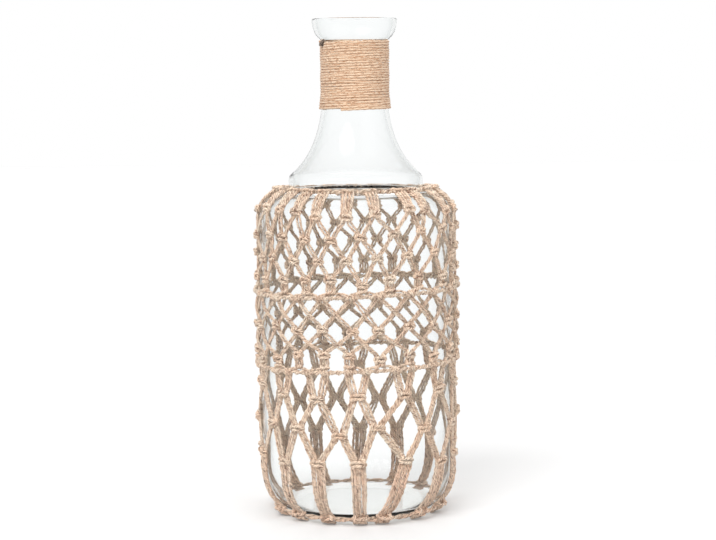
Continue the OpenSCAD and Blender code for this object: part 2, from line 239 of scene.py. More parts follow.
# Jute: fibres are a noise stretched along the cord and wrapped round it, with painted shade in the grooves between the
# yarns
def makeJuteGroup():
    tree = bpy.data.node_groups.new("juteFibre", "ShaderNodeTree")
    for name, kind in (("UV", "NodeSocketVector"), ("Shade", "NodeSocketFloat"), ("Light", "NodeSocketColor"),
                       ("Dark", "NodeSocketColor"), ("DarkFibreAndShade", "NodeSocketColor"), ("Yarns", "NodeSocketFloat")):
        tree.interface.new_socket(name=name, in_out="INPUT", socket_type=kind)
    for name, kind in (("Color", "NodeSocketColor"), ("Roughness", "NodeSocketFloat"), ("Height", "NodeSocketFloat")):
        tree.interface.new_socket(name=name, in_out="OUTPUT", socket_type=kind)
    given = tree.nodes.new("NodeGroupInput")
    split = tree.nodes.new("ShaderNodeSeparateXYZ")
    join(tree, given.outputs["UV"], split.inputs[0])
    along, around = split.outputs[0], split.outputs[1]
    angle = mathNode(tree, "MULTIPLY", around, 2 * math.pi)
    ring = [mathNode(tree, kind, angle) for kind in ("COSINE", "SINE")]

    def wrapped(alongScale, roundScale, detail):
        place = tree.nodes.new("ShaderNodeCombineXYZ")
        join(tree, mathNode(tree, "MULTIPLY", along, alongScale), place.inputs[0])
        for k in (0, 1):
            join(tree, mathNode(tree, "MULTIPLY", ring[k], roundScale), place.inputs[k + 1])
        noise = addNode(tree, "ShaderNodeTexNoise", Scale=1.0, Detail=detail, Roughness=0.65)
        join(tree, place.outputs[0], noise.inputs["Vector"])
        return noise.outputs["Fac"]

    fibre = wrapped(2.6, 1.5, 2.5)  # bundles of fibres, long along the cord
    fleck = wrapped(3.4, 1.1, 3.0)  # dark flecks at random places, painted shade of openings between the yarns
    clump = wrapped(1.3, 0.7, 2.0)  # lighter and darker stretches
    groove = mathNode(tree, "MULTIPLY", mathNode(tree, "ADD", around, 1 / 9), math.pi)
    groove = mathNode(tree, "MULTIPLY", groove, given.outputs["Yarns"])
    ridge = mathNode(tree, "ABSOLUTE", mathNode(tree, "SINE", groove))
    # Dark streaks along the cord: darker fibres, with painted shade between them
    streak = mathNode(tree, "MULTIPLY", mathNode(tree, "SUBTRACT", 0.48, fibre), 9.0, clamp=True)
    tone = mathNode(tree, "ADD", mathNode(tree, "MULTIPLY", clump, 0.9),
                    mathNode(tree, "MULTIPLY", given.outputs["Shade"], 0.4))
    tone = mathNode(tree, "SUBTRACT", tone, 0.05, clamp=True)
    base = mixColour(tree, tone, given.outputs["Dark"], given.outputs["Light"])
    fibred = mixColour(tree, streak, base, given.outputs["DarkFibreAndShade"])
    # Painted shade: flecks take the shade colour at random places along the cord
    fleckShade = mathNode(tree, "MULTIPLY", mathNode(tree, "SUBTRACT", 0.44, fleck), 7.0, clamp=True)
    flecked = mixColour(tree, mathNode(tree, "MULTIPLY", fleckShade, 0.85), fibred, given.outputs["DarkFibreAndShade"])
    # Painted shade in the grooves between the yarns: where the ridge wave is low the colour goes to the shade colour
    grooveShade = mathNode(tree, "MULTIPLY", mathNode(tree, "SUBTRACT", 0.42, ridge), 2.4, clamp=True)
    final = mixColour(tree, grooveShade, flecked, given.outputs["DarkFibreAndShade"])
    out = tree.nodes.new("NodeGroupOutput")
    join(tree, final, out.inputs["Color"])
    join(tree, mathNode(tree, "ADD", mathNode(tree, "MULTIPLY", fibre, 0.2), 0.72), out.inputs["Roughness"])
    join(tree, mathNode(tree, "ADD", mathNode(tree, "MULTIPLY", fibre, 0.8), mathNode(tree, "MULTIPLY", ridge, 0.3)),
         out.inputs["Height"])
    return tree


juteGroup = makeJuteGroup()


def juteMaterial(name, light, dark, groove, yarns=3.0):
    material, tree, shader = newMaterial(name, 0.85)
    shader.inputs["Specular IOR Level"].default_value = 0.25
    shader.inputs["Sheen Weight"].default_value = 0.25
    shader.inputs["Sheen Roughness"].default_value = 0.5
    group = tree.nodes.new("ShaderNodeGroup")
    group.node_tree = juteGroup
    for key, value in (("Light", light), ("Dark", dark), ("DarkFibreAndShade", groove), ("Yarns", yarns)):
        group.inputs[key].default_value = value
    place = tree.nodes.new("ShaderNodeTexCoord")
    join(tree, place.outputs["UV"], group.inputs["UV"])
    shade = addNode(tree, "ShaderNodeAttribute", dict(attribute_name="shade"))
    join(tree, shade.outputs["Fac"], group.inputs["Shade"])
    join(tree, group.outputs["Color"], shader.inputs["Base Color"])
    join(tree, group.outputs["Roughness"], shader.inputs["Roughness"])
    bump = addNode(tree, "ShaderNodeBump", Strength=0.6, Distance=0.0004)
    join(tree, group.outputs["Height"], bump.inputs["Height"])
    join(tree, bump.outputs[0], shader.inputs["Normal"])
    return material


# The third colour of each is the painted shade in the grooves, also used for the dark streaks and flecks; the base
# cords' shade colour is darker
juteCord = juteMaterial("juteCord", sRgb(255, 241, 221), sRgb(255, 216, 185), sRgb(112, 68, 48))
juteTwine = juteMaterial("juteTwine", sRgb(237, 215, 189), sRgb(230, 191, 159), sRgb(184, 138, 104), yarns=2.0)
juteBase = juteMaterial("juteBase", sRgb(255, 236, 215), sRgb(252, 206, 176), sRgb(86, 52, 36))
juteDark = juteMaterial("juteDark", sRgb(150, 134, 120), sRgb(110, 94, 82), sRgb(60, 48, 42), yarns=2.0)
print("materials made")

# Glass

glass = dict(
    height=415.0,
    wall=3.0,
    floor=7.0,
    floorFillet=14.0,  # where the inside turns from the corner into the floor
    baseCut=1.5,
    bellRadius=56.5,
    bellFoot=8.5,
    bellEdge=6.0,
    footFillet=1.6,  # between the shoulder and the foot of the bell
    neckRadius=26.9,
    neckLength=46.0,
    flareFall=26.0,
    mouthRadius=35.6,
    mouthLength=18.6,
    segments=192,
    ripple=0.12,  # unevenness of the blown inside
    mouthStart=20.0,  # degrees of the quarter turn at which the mouth leaves the neck
    paintedEdgeShade=sRgb(188, 194, 192),
    clearTint=sRgb(253, 254, 254),
    shadeTint=(0.88, 0.88, 0.875, 1),
    passTint=(0.97, 0.97, 0.965, 1),
)


def arcPoints(x, z, radius, start, end, count):
    turn = np.radians(np.linspace(start, end, count))
    return np.column_stack([x + radius * np.cos(turn), z + radius * np.sin(turn)])


shoulderTop = skin["shoulderHeight"] + skin["shoulderRadius"]
bellEdgeHeight = shoulderTop + glass["bellFoot"]
flareHeight = bellEdgeHeight + glass["bellEdge"] * math.sin(math.radians(45))
flareStart = glass["bellRadius"] - glass["bellEdge"] * (1 - math.cos(math.radians(45)))
mouthHeight = glass["height"] - glass["mouthLength"]
neckHeight = mouthHeight - glass["neckLength"]
flareEnd = math.exp(-(neckHeight - flareHeight) / glass["flareFall"])
flareSize = (flareStart - glass["neckRadius"]) / (1 - flareEnd)


# Outside radius above the bell: the neck's radius plus a flare that dies away exponentially upwards,
# and from the mouth's lower end on the quarter sine of the cup
def neckOutside(height):
    flare = flareSize * (np.exp(-(height - flareHeight) / glass["flareFall"]) - flareEnd)
    first = math.radians(glass["mouthStart"])
    climb = np.clip((height - mouthHeight) / (glass["mouthLength"] - glass["wall"] / 2), 0, 1)
    sine = np.sqrt(1 - ((1 - climb) * math.cos(first)) ** 2)
    cup = (glass["mouthRadius"] - glass["neckRadius"]) * (sine - math.sin(first)) / (1 - math.sin(first))
    return glass["neckRadius"] + np.where(height < neckHeight, flare, 0) + cup


# One side of the glass from its floor to its rim, drawn in by the wall: arcs for the corners and the
# bell's edge, an exponential flare, and a quarter sine for the mouth
def glassSide(wall, low):
    wallRadius, cornerHeight = skin["wallRadius"], skin["cornerHeight"]
    radius, x = skin["cornerRadius"] - wall, wallRadius - skin["cornerRadius"]
    foot = -math.degrees(math.asin(cornerHeight / radius)) if wall == 0 else 0
    fillet = np.zeros((0, 2))
    if wall:
        small = glass["floorFillet"]
        drop = cornerHeight - low - small
        reach = math.sqrt((radius - small) ** 2 - drop ** 2)
        foot = -math.degrees(math.atan2(drop, reach))
        fillet = arcPoints(x + reach, low + small, small, -90, foot, 12)[:-1]
    shoulderX = wallRadius - skin["shoulderRadius"]
    shoulderR = skin["shoulderRadius"] - wall
    bellX = glass["bellRadius"] - wall
    last = math.degrees(math.acos((glass["bellRadius"] + 1.2 - shoulderX) / shoulderR)) if wall == 0 else 85
    heights = np.linspace(flareHeight, neckHeight, 40)[1:]
    first = math.radians(glass["mouthStart"])
    sine = np.linspace(first, math.pi / 2, 22)[1:]
    spread = (np.sin(sine) - math.sin(first)) / (1 - math.sin(first))
    climb = 1 - np.cos(sine) / math.cos(first)
    mouth = np.column_stack([
        glass["neckRadius"] - wall + (glass["mouthRadius"] - glass["neckRadius"]) * spread,
        mouthHeight + (glass["mouthLength"] - glass["wall"] / 2) * climb])
    return np.concatenate([
        fillet,
        arcPoints(x, cornerHeight, radius, foot, 0, 26),
        np.column_stack([np.full(10, wallRadius - wall),
                         np.linspace(cornerHeight, skin["shoulderHeight"], 12)[1:-1]]),
        arcPoints(shoulderX, skin["shoulderHeight"], shoulderR, 0, last, 22),
        arcPoints(glass["bellRadius"] + glass["footFillet"], shoulderTop + glass["footFillet"],
                  glass["footFillet"] + wall, 262, 182, 9),
        arcPoints(bellX - glass["bellEdge"], bellEdgeHeight, glass["bellEdge"], 0, 45, 9),
        np.column_stack([neckOutside(heights) - wall, heights]),
        np.column_stack([np.full(5, glass["neckRadius"] - wall), np.linspace(neckHeight, mouthHeight, 7)[1:-1]]),
        mouth])


def makeGlass():
    outer, inner = glassSide(0.0, 0.0), glassSide(glass["wall"], glass["floor"])
    lip = arcPoints(glass["mouthRadius"] - glass["wall"] / 2, glass["height"] - glass["wall"] / 2,
                    glass["wall"] / 2, 0, 180, 11)[1:-1]
    footFlat = np.column_stack([np.linspace(0, outer[0, 0], 12)[1:-1], np.zeros(10)])
    floorFlat = np.column_stack([np.linspace(0, inner[0, 0], 12)[1:-1], np.full(10, glass["floor"])])
    outline = np.concatenate([footFlat, outer, lip, inner[::-1], floorFlat[::-1]])
    inside = np.arange(len(outline)) >= len(footFlat) + len(outer) + len(lip)
    rows, cols = len(outline), glass["segments"]
    turn = 2 * math.pi * np.arange(cols) / cols
    height = outline[:, 1][:, None]
    # Blown glass: the inside swells and sinks a little, as a sum of slow waves round and up the wall
    wave = (np.sin(2 * turn[None, :] + height / 31 + 0.7) + np.sin(3 * turn[None, :] - height / 23 + 2.1)
            + 0.6 * np.sin(7 * turn[None, :] + height / 13))
    fade = np.clip((outline[:, 0] - 10) / 30, 0, 1) * inside
    radius = outline[:, 0][:, None] + glass["ripple"] * wave * fade[:, None]
    points = np.stack([radius * np.sin(turn), -radius * np.cos(turn), height + 0 * radius], axis=-1)
    poles = np.array([[0, 0, 0], [0, 0, glass["floor"]]])
    points = np.concatenate([points.reshape(-1, 3), poles]) * mm
    row, col = np.meshgrid(np.arange(rows - 1), np.arange(cols), indexing="ij")
    right = (col + 1) % cols
    quads = np.stack([row * cols + col, row * cols + right, (row + 1) * cols + right, (row + 1) * cols + col], -1)
    ring = np.arange(cols)
    bottom = np.column_stack([np.full(cols, rows * cols), (ring + 1) % cols, ring])
    last = (rows - 1) * cols
    top = np.column_stack([np.full(cols, rows * cols + 1), last + ring, last + (ring + 1) % cols])
    mesh = bpy.data.meshes.new("glassBottle")
    mesh.from_pydata(points.tolist(), [], quads.reshape(-1, 4).tolist() + bottom.tolist() + top.tolist())
    mesh.polygons.foreach_set("use_smooth", np.ones(len(mesh.polygons), bool))
    mesh.update()
    return mesh


def glassMaterial():
    material, tree, shader = newMaterial("clearGlass", 0.0)
    shader.inputs["Transmission Weight"].default_value = 1.0
    shader.inputs["IOR"].default_value = 1.2
    # Painted shade at the edges: the glass colour goes grey where it is seen at a grazing angle, standing in for the
    # darker surroundings the edges bend and mirror
    facing = addNode(tree, "ShaderNodeLayerWeight", Blend=0.5)
    edge = mathNode(tree, "POWER", facing.outputs["Facing"], 3.0, clamp=True)
    tintAndEdgeShade = mixColour(tree, edge, glass["clearTint"], glass["paintedEdgeShade"])
    join(tree, tintAndEdgeShade, shader.inputs["Base Color"])
    # Light passes to the cords behind instead of casting a hard shadow
    light = tree.nodes.new("ShaderNodeLightPath")
    clear = tree.nodes.new("ShaderNodeBsdfTransparent")
    join(tree, mixColour(tree, light.outputs["Is Shadow Ray"], glass["passTint"], glass["shadeTint"]),
         clear.inputs["Color"])
    mix = tree.nodes.new("ShaderNodeMixShader")
    passing = mathNode(tree, "MAXIMUM", light.outputs["Is Shadow Ray"], light.outputs["Is Diffuse Ray"])
    join(tree, passing, mix.inputs[0])
    join(tree, shader.outputs[0], mix.inputs[1])
    join(tree, clear.outputs[0], mix.inputs[2])
    join(tree, mix.outputs[0], tree.nodes["Material Output"].inputs["Surface"])
    return material


bottle = bpy.data.objects.new("glass_bottle_blown", makeGlass())
scene.collection.objects.link(bottle)
bottle.data.materials.append(glassMaterial())
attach(bottle, "root")
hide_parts("glass_bottle")
print("glass made")

# Neck winding

winding = dict(
    topAngle=-80.0,
    knotAngle=-66.0,
    endAngle=-23.0,
    turns=28,  # the last one ends in front, left of the middle
    topHeight=396.3,
    bottomHeight=339.6,
    waver=0.3,
)


# Helix down the neck: the angle falls steadily and the height with it, each turn wavering a little
def makeWinding():
    length = 360 * winding["turns"] + winding["topAngle"] - winding["endAngle"]
    drop = np.linspace(0, 1, 120 * winding["turns"])
    angle = winding["topAngle"] - drop * length
    height = winding["topHeight"] + (winding["bottomHeight"] - winding["topHeight"]) * drop
    turn = np.radians(angle)
    height = height + winding["waver"] * (np.sin(turn * 2 + 0.4) * np.sin(drop * 19) + 0.8 * np.sin(turn + drop * 26))
    height = height + 0.06 * np.sin(turn * 0.37) * np.sin(turn * 3.3)
    height = height + 0.1 * np.sin(turn) * (1 - drop) + 0.5 * np.sin(turn + 0.3) * drop
    skinRadius = np.maximum(neckOutside(height - 1.0), neckOutside(height + 1.0))
    radius = skinRadius + twine["radius"] + 0.06 + 0.12 * np.sin(drop * 157 + turn)
    points = np.column_stack([radius * np.sin(turn), -radius * np.cos(turn), height])
    outward = np.column_stack([np.sin(turn), -np.cos(turn), 0 * turn])
    return [twistedCord(points, outward, twine, sides=8, yarns=2, loose=0.09)]


# Small knot at the top left: two tight loops and a short cut end
def makeWindingKnot():
    middle, strands = math.radians(winding["knotAngle"]), []
    out = np.array([math.sin(middle), -math.cos(middle), 0])
    over = np.array([math.cos(middle), math.sin(middle), 0])
    up = np.array([0, 0, 1.0])
    centre = (glass["neckRadius"] + 2.7) * out + (winding["topHeight"] - 2.4) * up
    for size, lift, tip in ((1.7, 0.2, 0.5), (1.2, 0.9, -0.7)):
        turn = np.linspace(0, 1.9 * math.pi, 40)[:, None]
        points = centre + size * np.cos(turn) * over + size * 0.8 * np.sin(turn) * (up + tip * out) + lift * out
        strands.append(twistedCord(points, np.repeat(out[None, :] + 0.3 * up, 40, axis=0), twine, 8, 2))
    tail = centre + np.linspace(0, 1, 12)[:, None] * (3.4 * up + 3.0 * over - 0.6 * out)
    strands.append(twistedCord(tail, np.repeat(out[None, :], 12, axis=0), twine, 8, 2))
    return strands


cordPiece("neck_winding", makeWinding(), juteTwine)
cordPiece("neck_winding_knot", makeWindingKnot(), juteDark)

# Rows of the net: the first column's angle, how many columns, the row's height, and for the columns in
# front how far each is turned off its regular place and how high it hangs

rows = dict(
    upper1=dict(first=-5.57, count=21, height=256, start=-4, turned=[9.5, 7, 3.5, -0.5, 0, -1, 3.5, -2.5],
                high=[259, 258, 257.5, 254, 253.5, 256, 259.5, 257.5]),
    upper2=dict(first=3, count=21, height=238.8, start=-4, turned=[8, 3, 1.5, 0, -0.5, 1, 1.5, 3],
                high=[238, 237, 236, 236, 238, 240.5, 242, 242.5]),
    upper3=dict(first=-5.57, count=21, height=221.6, start=-4, turned=[7.5, 2, 2.5, 1, 0, 0, 0.5, 3.5, 6.5],
                high=[217.5, 219.5, 218.5, 218.5, 219, 221.5, 223, 224, 220]),
    upper4=dict(first=3, count=21, height=204.4, start=-4, turned=[2.5, 3.5, 2, -0.5, 0, -1.5, -0.5, 3],
                high=[200, 202, 203, 204, 200, 203.5, 205, 203]),
    middle1=dict(first=-3.5, count=21, height=163, start=-3, turned=[3, 2.5, 1, 1, -1.5, -0.5, 0],
                 high=[163.5, 161, 164, 162, 162.5, 165, 163]),
    middle2=dict(first=-3.5, count=21, height=140, start=-4, turned=[5, 4.5, 3, 2, -1, -1, 0, 0],
                 high=[135.5, 136, 142, 142.5, 142.5, 139.5, 141.5, 138]),
    lower1=dict(first=0, count=14, height=109.3, start=-3, turned=[7, 4.5, 2.5, 0, 1.5, 1.5, -3],
                high=[113, 108.5, 106, 109, 109, 110, 111]),
    lower2=dict(first=12.86, count=14, height=81.3, start=-3, turned=[7.5, 2.5, 2.5, -2, 2, 5],
                high=[82, 81, 77, 83.5, 79, 78.5]),
    lower3=dict(first=0, count=14, height=53.3, start=-3, turned=[6.5, 5, 2.5, 0, 2, 3, -3.5],
                high=[53.5, 51.5, 53.5, 54, 55, 49, 51]),
    base=dict(first=0, count=14, height=4.6, start=-3, turned=[12, 8, 4.5, 1, -9, -6, -8],
              high=[5, 3.5, 3.5, 3, 3.5, 5.5, 6]),
)
bands = dict(upper=190.0, lower=129.3)


def leanAt(angle, height):
    share = 0.2 if height > skin["shoulderHeight"] else 1.0 if height > bands["lower"] - 1 else 0.4
    return skin["lean"] * math.sin(math.radians(angle)) * share


# Columns of a row: the regular places, strayed a little, with the front ones as they hang
def placeRow(row):
    step = 360 / row["count"]
    angles = row["first"] + step * np.arange(row["count"]) + draws.uniform(-1.3, 1.3, row["count"])
    heights = row["height"] + draws.uniform(-1.2, 1.2, row["count"])
    heights = heights + np.array([leanAt(a, row["height"]) for a in angles])
    for k, (turned, high) in enumerate(zip(row["turned"], row["high"])):
        column = row["start"] + k
        angles[column % row["count"]] = (row["first"] + step * column + turned) % 360
        heights[column % row["count"]] = high
    return list(zip(angles % 360, heights))


placed = {name: placeRow(row) for name, row in rows.items()}


def bandHeight(band, angle):
    turn = math.radians(angle)
    return bands[band] + leanAt(angle, bands[band]) * 0.8 + 0.5 * math.sin(3 * turn + 1)


# Angle b turned by whole circles to lie next to angle a
def near(a, b):
    return b + 360 * round((a - b) / 360)


def stray(share=1.0):
    return draws.uniform(-1, 1) * cord["wander"] * share


# One leg: cords side by side from one knot down to the next, upper ends at fromSide, lower ends at toSide
def leg(start, end, fromUs, toUs, over=0.0, knotHalf=3.0, size=cord):
    strands = []
    a, za = start
    b, zb = near(a, end[0]), end[1]
    loose = draws.uniform(0, 0.7)
    for k, (fromU, toU) in enumerate(zip(fromUs, toUs)):
        spread = (k - (len(fromUs) - 1) / 2) * loose
        ways = [spot(a, za, fromU * 0.75, 0.6, 1.3), spot(a, za, fromU, -knotHalf, 1.25)]
        for share in (0.25, 0.5, 0.75):
            angle, height = a + (b - a) * share, za - knotHalf + (zb + 2 * knotHalf - za) * share
            u = fromU + (toU - fromU) * share + spread + stray()
            w = 1.2 + over * math.sin(math.pi * share) + abs(stray(0.5))
            ways.append(spot(angle, height, u, stray(0.5), w))
        ways += [spot(b, zb, toU, knotHalf, 1.25), spot(b, zb, toU * 0.75, -0.6, 1.3)]
        strands.append(laidCord(ways, 3.2, size))
    return strands


# Square knot: one cord crosses the column twice in front and turns at both sides, the other comes down
# over its end
def squareKnot(angle, height, half, flip, bulk=0.0):
    first = [(-0.45, -3.3, 1.1), (-0.95, -1.8, 1.2), (-1.06, 0.2, 1.5), (-0.8, 1.7, 2.9), (-0.2, 2.0, 3.5),
             (0.45, 1.7, 3.4), (0.92, 1.2, 2.6), (1.1, 0, 1.6), (0.92, -1.1, 2.7), (0.4, -1.5, 3.5),
             (-0.3, -1.3, 3.5), (-0.78, -1.9, 2.6), (-0.75, -3.2, 1.3)]
    second = [(0.5, 3.6, 1.3), (0.76, 2.9, 2.6), (0.84, 1.6, 4.2), (0.98, 0.3, 3.4), (1.0, -0.6, 1.6), (0.7, -1.0, 1.2)]
    shift, slope = stray(1.2), draws.uniform(-0.5, 0.5)
    strands = []
    for path, window in ((first, 1.9), (second, 1.7)):
        ways = [spot(angle, height, flip * (u * half + shift * 0.3 + stray(0.6)), v + slope * u + stray(1.1),
                     w + bulk * (w > 2)) for u, v, w in path]
        strands.append(laidCord(ways, window, knotCord))
    return strands


def knotRow(name, half, bulk=0.0, seedFlip=0):
    strands = []
    for k, (angle, height) in enumerate(placed[name]):
        strands += squareKnot(angle, height, half, 1 if (k + seedFlip) % 2 else -1, bulk)
    return strands


# Legs between two rows: each knot sends one leg to the left column and one to the right
def legRow(top, bottom, leftStep, rightStep, us, size=cord):
    strands = []
    for k, start in enumerate(placed[top]):
        count = len(placed[bottom])
        mirrored = [-u for u in us[::-1]]
        strands += leg(start, placed[bottom][(k + rightStep) % count], us, mirrored, size=size)
        strands += leg(start, placed[bottom][(k + leftStep) % count], [-u for u in us], us[::-1], size=size)
    return strands


pairUs = [1.1, 3.5]
tripleUs = [1.15, 3.5, 5.8]
net = dict(upperKnot=3.9, lowerKnot=5.4)

for number in (1, 2, 3, 4):
    cordPiece(f"upper_knots_{number}", knotRow(f"upper{number}", net["upperKnot"], seedFlip=number), juteCord)
for number, (leftStep, rightStep) in ((1, (-1, 0)), (2, (0, 1)), (3, (-1, 0))):
    strands = legRow(f"upper{number}", f"upper{number + 1}", leftStep, rightStep, pairUs)
    cordPiece(f"upper_legs_{number}", strands, juteCord)

# Middle net: legs go a whole column to each side and cross, those to the right over those to the left


def crossingRow(tops, bottoms):
    strands, count = [], len(bottoms)
    mirrored = [-u for u in pairUs[::-1]]
    for k, start in enumerate(tops):
        strands += leg(start, bottoms[(k - 1) % count], [-u for u in pairUs], pairUs[::-1])
        strands += leg(start, bottoms[(k + 1) % count], pairUs, mirrored, over=2.4)
    return strands


middleColumns = [(angle, bandHeight("upper", angle)) for angle, _ in placed["middle1"]]
cordPiece("middle_legs_1", crossingRow(middleColumns, placed["middle1"]), juteCord)
cordPiece("middle_legs_2", crossingRow(placed["middle1"], placed["middle2"]), juteCord)
for number in (1, 2):
    cordPiece(f"middle_knots_{number}", knotRow(f"middle{number}", net["upperKnot"], 0.3, number), juteCord)

# Lower net
lowerLegs1 = []
for angle, height in placed["lower1"]:
    for side in (-1, 1):
        start = angle + side * 5
        top = (start, bandHeight("lower", start))
        toUs = [-u for u in tripleUs[::-1]] if side < 0 else tripleUs
        lowerLegs1 += leg(top, (angle, height), [-2.1, 0, 2.1], toUs, knotHalf=2.6, size=ropeCord)
cordPiece("lower_legs_1", lowerLegs1, juteCord)
for number, (leftStep, rightStep) in ((2, (-1, 0)), (3, (0, 1))):
    strands = legRow(f"lower{number - 1}", f"lower{number}", leftStep, rightStep, tripleUs, ropeCord)
    cordPiece(f"lower_legs_{number}", strands, juteCord)
for number in (1, 2, 3):
    cordPiece(f"lower_knots_{number}", knotRow(f"lower{number}", net["lowerKnot"], 0.4, number), juteCord)
print("net rows made")


# Posts: four cords straight down from a knot to a second knot that sits on the band
def postRow(columns, band, seedFlip):
    strands = []
    for k, (angle, height) in enumerate(columns):
        low = bandHeight(band, angle) + 4.2
        flip = 1 if (k + seedFlip) % 2 else -1
        slope = flip * draws.uniform(0.4, 1.3)
        bar = [(-0.5, 1.6, 1.2), (-0.95, 1.0, 1.6), (-0.7, 0.2, 3.0), (0.0, 0.0, 3.7), (0.7, -0.1, 3.3),
               (1.0, -0.9, 1.8), (0.6, -1.8, 1.2)]
        ways = [spot(angle, low, flip * u * net["upperKnot"], v + slope * u + stray(0.6), w) for u, v, w in bar]
        strands.append(laidCord(ways, 1.9, knotCord))
        for u in (-3.3, -1.15, 1.15, 3.3):
            ways = [spot(angle, height, u * 0.8, -1, 1.3), spot(angle, (height + low) / 2, u, 0, 1.2 + abs(stray())),
                    spot(angle, low, u * 0.9, -1.5, 1.3)]
            strands.append(laidCord(ways))
    return strands


cordPiece("upper_posts", postRow(placed["upper4"], "upper", 0), juteCord)
cordPiece("middle_posts", postRow(placed["middle2"], "lower", 1), juteCord)


# Closed ring cords: two cords that wind slowly round each other
def ringCords(heightAt, out, pitch, gap, count=2, size=cord):
    strands = []
    angles = np.linspace(0, 360, 481)
    for k in range(count):
        turn = np.radians(angles * pitch) + 2 * math.pi * k / count
        height = np.array([heightAt(a) for a in angles]) + gap * np.sin(turn)
        points, outward = skinPoints(angles, height, out + gap * np.cos(turn))
        points[:, 2] = np.maximum(points[:, 2], size["radius"] * 1.12)
        strands.append(twistedCord(points, outward, size))
    return strands


# Hitches: each net cord comes from the knot above, runs to its place and wraps over the band
def hitchRow(band, sources, targets):
    strands = []
    order = sorted(range(len(targets)), key=lambda k: targets[k] % 360)
    targets = [targets[k] for k in order]
    sources = sorted(sources, key=lambda s: s[0] % 360)
    shifts = range(-6, 7)
    best = min(shifts, key=lambda n: sum(
        abs((s[0] - targets[(k + n) % len(targets)] + 180) % 360 - 180) for k, s in enumerate(sources)))
    for k, (angle, height) in enumerate(sources):
        target = near(angle, targets[(k + best) % len(targets)])
        at = bandHeight(band, target)
        slant = stray(2.0)
        ways = [[angle, height, 1.3], [angle + (target - angle) * 0.35, at + 3.2, 1.6],
                spot(target, at, -slant - 0.8, 2.0, 2.6), spot(target, at, -slant * 0.5 - 0.3, 1.1, 4.6),
                spot(target, at, slant * 0.5 + 0.3, -0.9, 4.8), spot(target, at, slant + 0.6, -1.9, 2.8),
                spot(target, at, slant, -3.2, 1.3)]
        strands.append(laidCord(ways, 1.7))
    return strands


def bundle(columns, us, rise):
    return [(angle + math.degrees(u / skin["wallRadius"]), height + rise) for angle, height in columns for u in us]


fourUs = [-3.2, -1.05, 1.05, 3.2]
upperSources = bundle([(a, bandHeight("upper", a) + 5) for a, _ in placed["upper4"]], fourUs, -2)
upperTargets = [a for a, _ in bundle(middleColumns, [-3.3, -1.1, 1.1, 3.3], 0)]
lowerSources = bundle([(a, bandHeight("lower", a) + 5) for a, _ in placed["middle2"]], fourUs, -2)
lowerTargets = [a for a, _ in bundle([(angle + side * 5, 0) for angle, _ in placed["lower1"] for side in (-1, 1)],
                                     [-2.2, 0, 2.2], 0)]
cordPiece("upper_band_hitches", hitchRow("upper", upperSources, upperTargets), juteCord)
cordPiece("lower_band_hitches", hitchRow("lower", lowerSources, lowerTargets), juteCord)
for band in ("upper", "lower"):
    strands = ringCords(lambda a, band=band: bandHeight(band, a), 2.8, 43, 1.0, size=ropeCord)
    cordPiece(f"{band}_band_cord", strands, juteCord)
print("bands made")

# Collar: a ring of two cords on the shoulder that the folded net cords hang over
collar = dict(height=281.2, sag=9.5, out=1.6, strapUs=[-4.1, -1.4, 1.4, 4.1])


# Arc height of the collar ring: it sags behind, by the squared share of the half turn from the front
def collarHeight(angle):
    return collar["height"] - collar["sag"] * ((1 - math.cos(math.radians(angle))) / 2) ** 2


# Each pair of strands is one cord folded over the ring: they go up over it and come down behind it,
# and the fold lies across in front
def makeCollar():
    straps, hitches = [], []
    for angle, height in placed["upper1"]:
        top, width = collarHeight(angle), draws.uniform(0.9, 1.08)
        for u in collar["strapUs"]:
            ways = [spot(angle, height, u * 0.7, -1, 1.5), spot(angle, height, u * 0.8, 3, 1.5),
                    spot(angle, (height + top) / 2, u * width + stray(), 0, 1.5 + abs(stray(1.2))),
                    spot(angle, top, u * width + stray(0.6), -5, 1.6), spot(angle, top, u * width, -2.4, 2.6),
                    spot(angle, top, u * width, 0, 3.1), spot(angle, top, u * width, 2.0, 2.3),
                    spot(angle, top, u * width, 1.9, 1.2)]
            straps.append(laidCord(ways, 2.0, slackCord))
        for side in (-1, 1):
            left, right, sink = (side * 2.8 - 2.7) * width, (side * 2.8 + 2.7) * width, stray(2.5)
            ways = [spot(angle, top, left, 0.6, 1.8), spot(angle, top, left - 0.3, -0.8 + sink, 3.2),
                    spot(angle, top, left + 1.0, -2.4 + sink, 4.3), spot(angle, top, right - 1.0, -2.4 - sink, 4.3),
                    spot(angle, top, right + 0.3, -0.8 - sink, 3.2), spot(angle, top, right, 0.6, 1.8)]
            hitches.append(laidCord(ways, 1.8, ropeCord))
    return straps, hitches


collarStraps, collarHitches = makeCollar()
cordPiece("collar_straps", collarStraps, juteCord)
cordPiece("collar_hitches", collarHitches, juteCord)
collarRing = ringCords(collarHeight, collar["out"], 37, 0.9, size=ropeCord)
cordPiece("collar_cord", collarRing, juteCord)
print("collar made")

# Base: straps of six cords follow the bottom corner to a ring cord and end in cut tails
base = dict(ringOut=3.0, strapUs=[-5.2, -3.1, -1.0, 1.0, 3.1, 5.2], tail=-2.2)


def baseHeight(angle):
    turn = math.radians(angle)
    return 4.4 - 1.2 * math.cos(turn) + 1.0 * math.sin(turn)


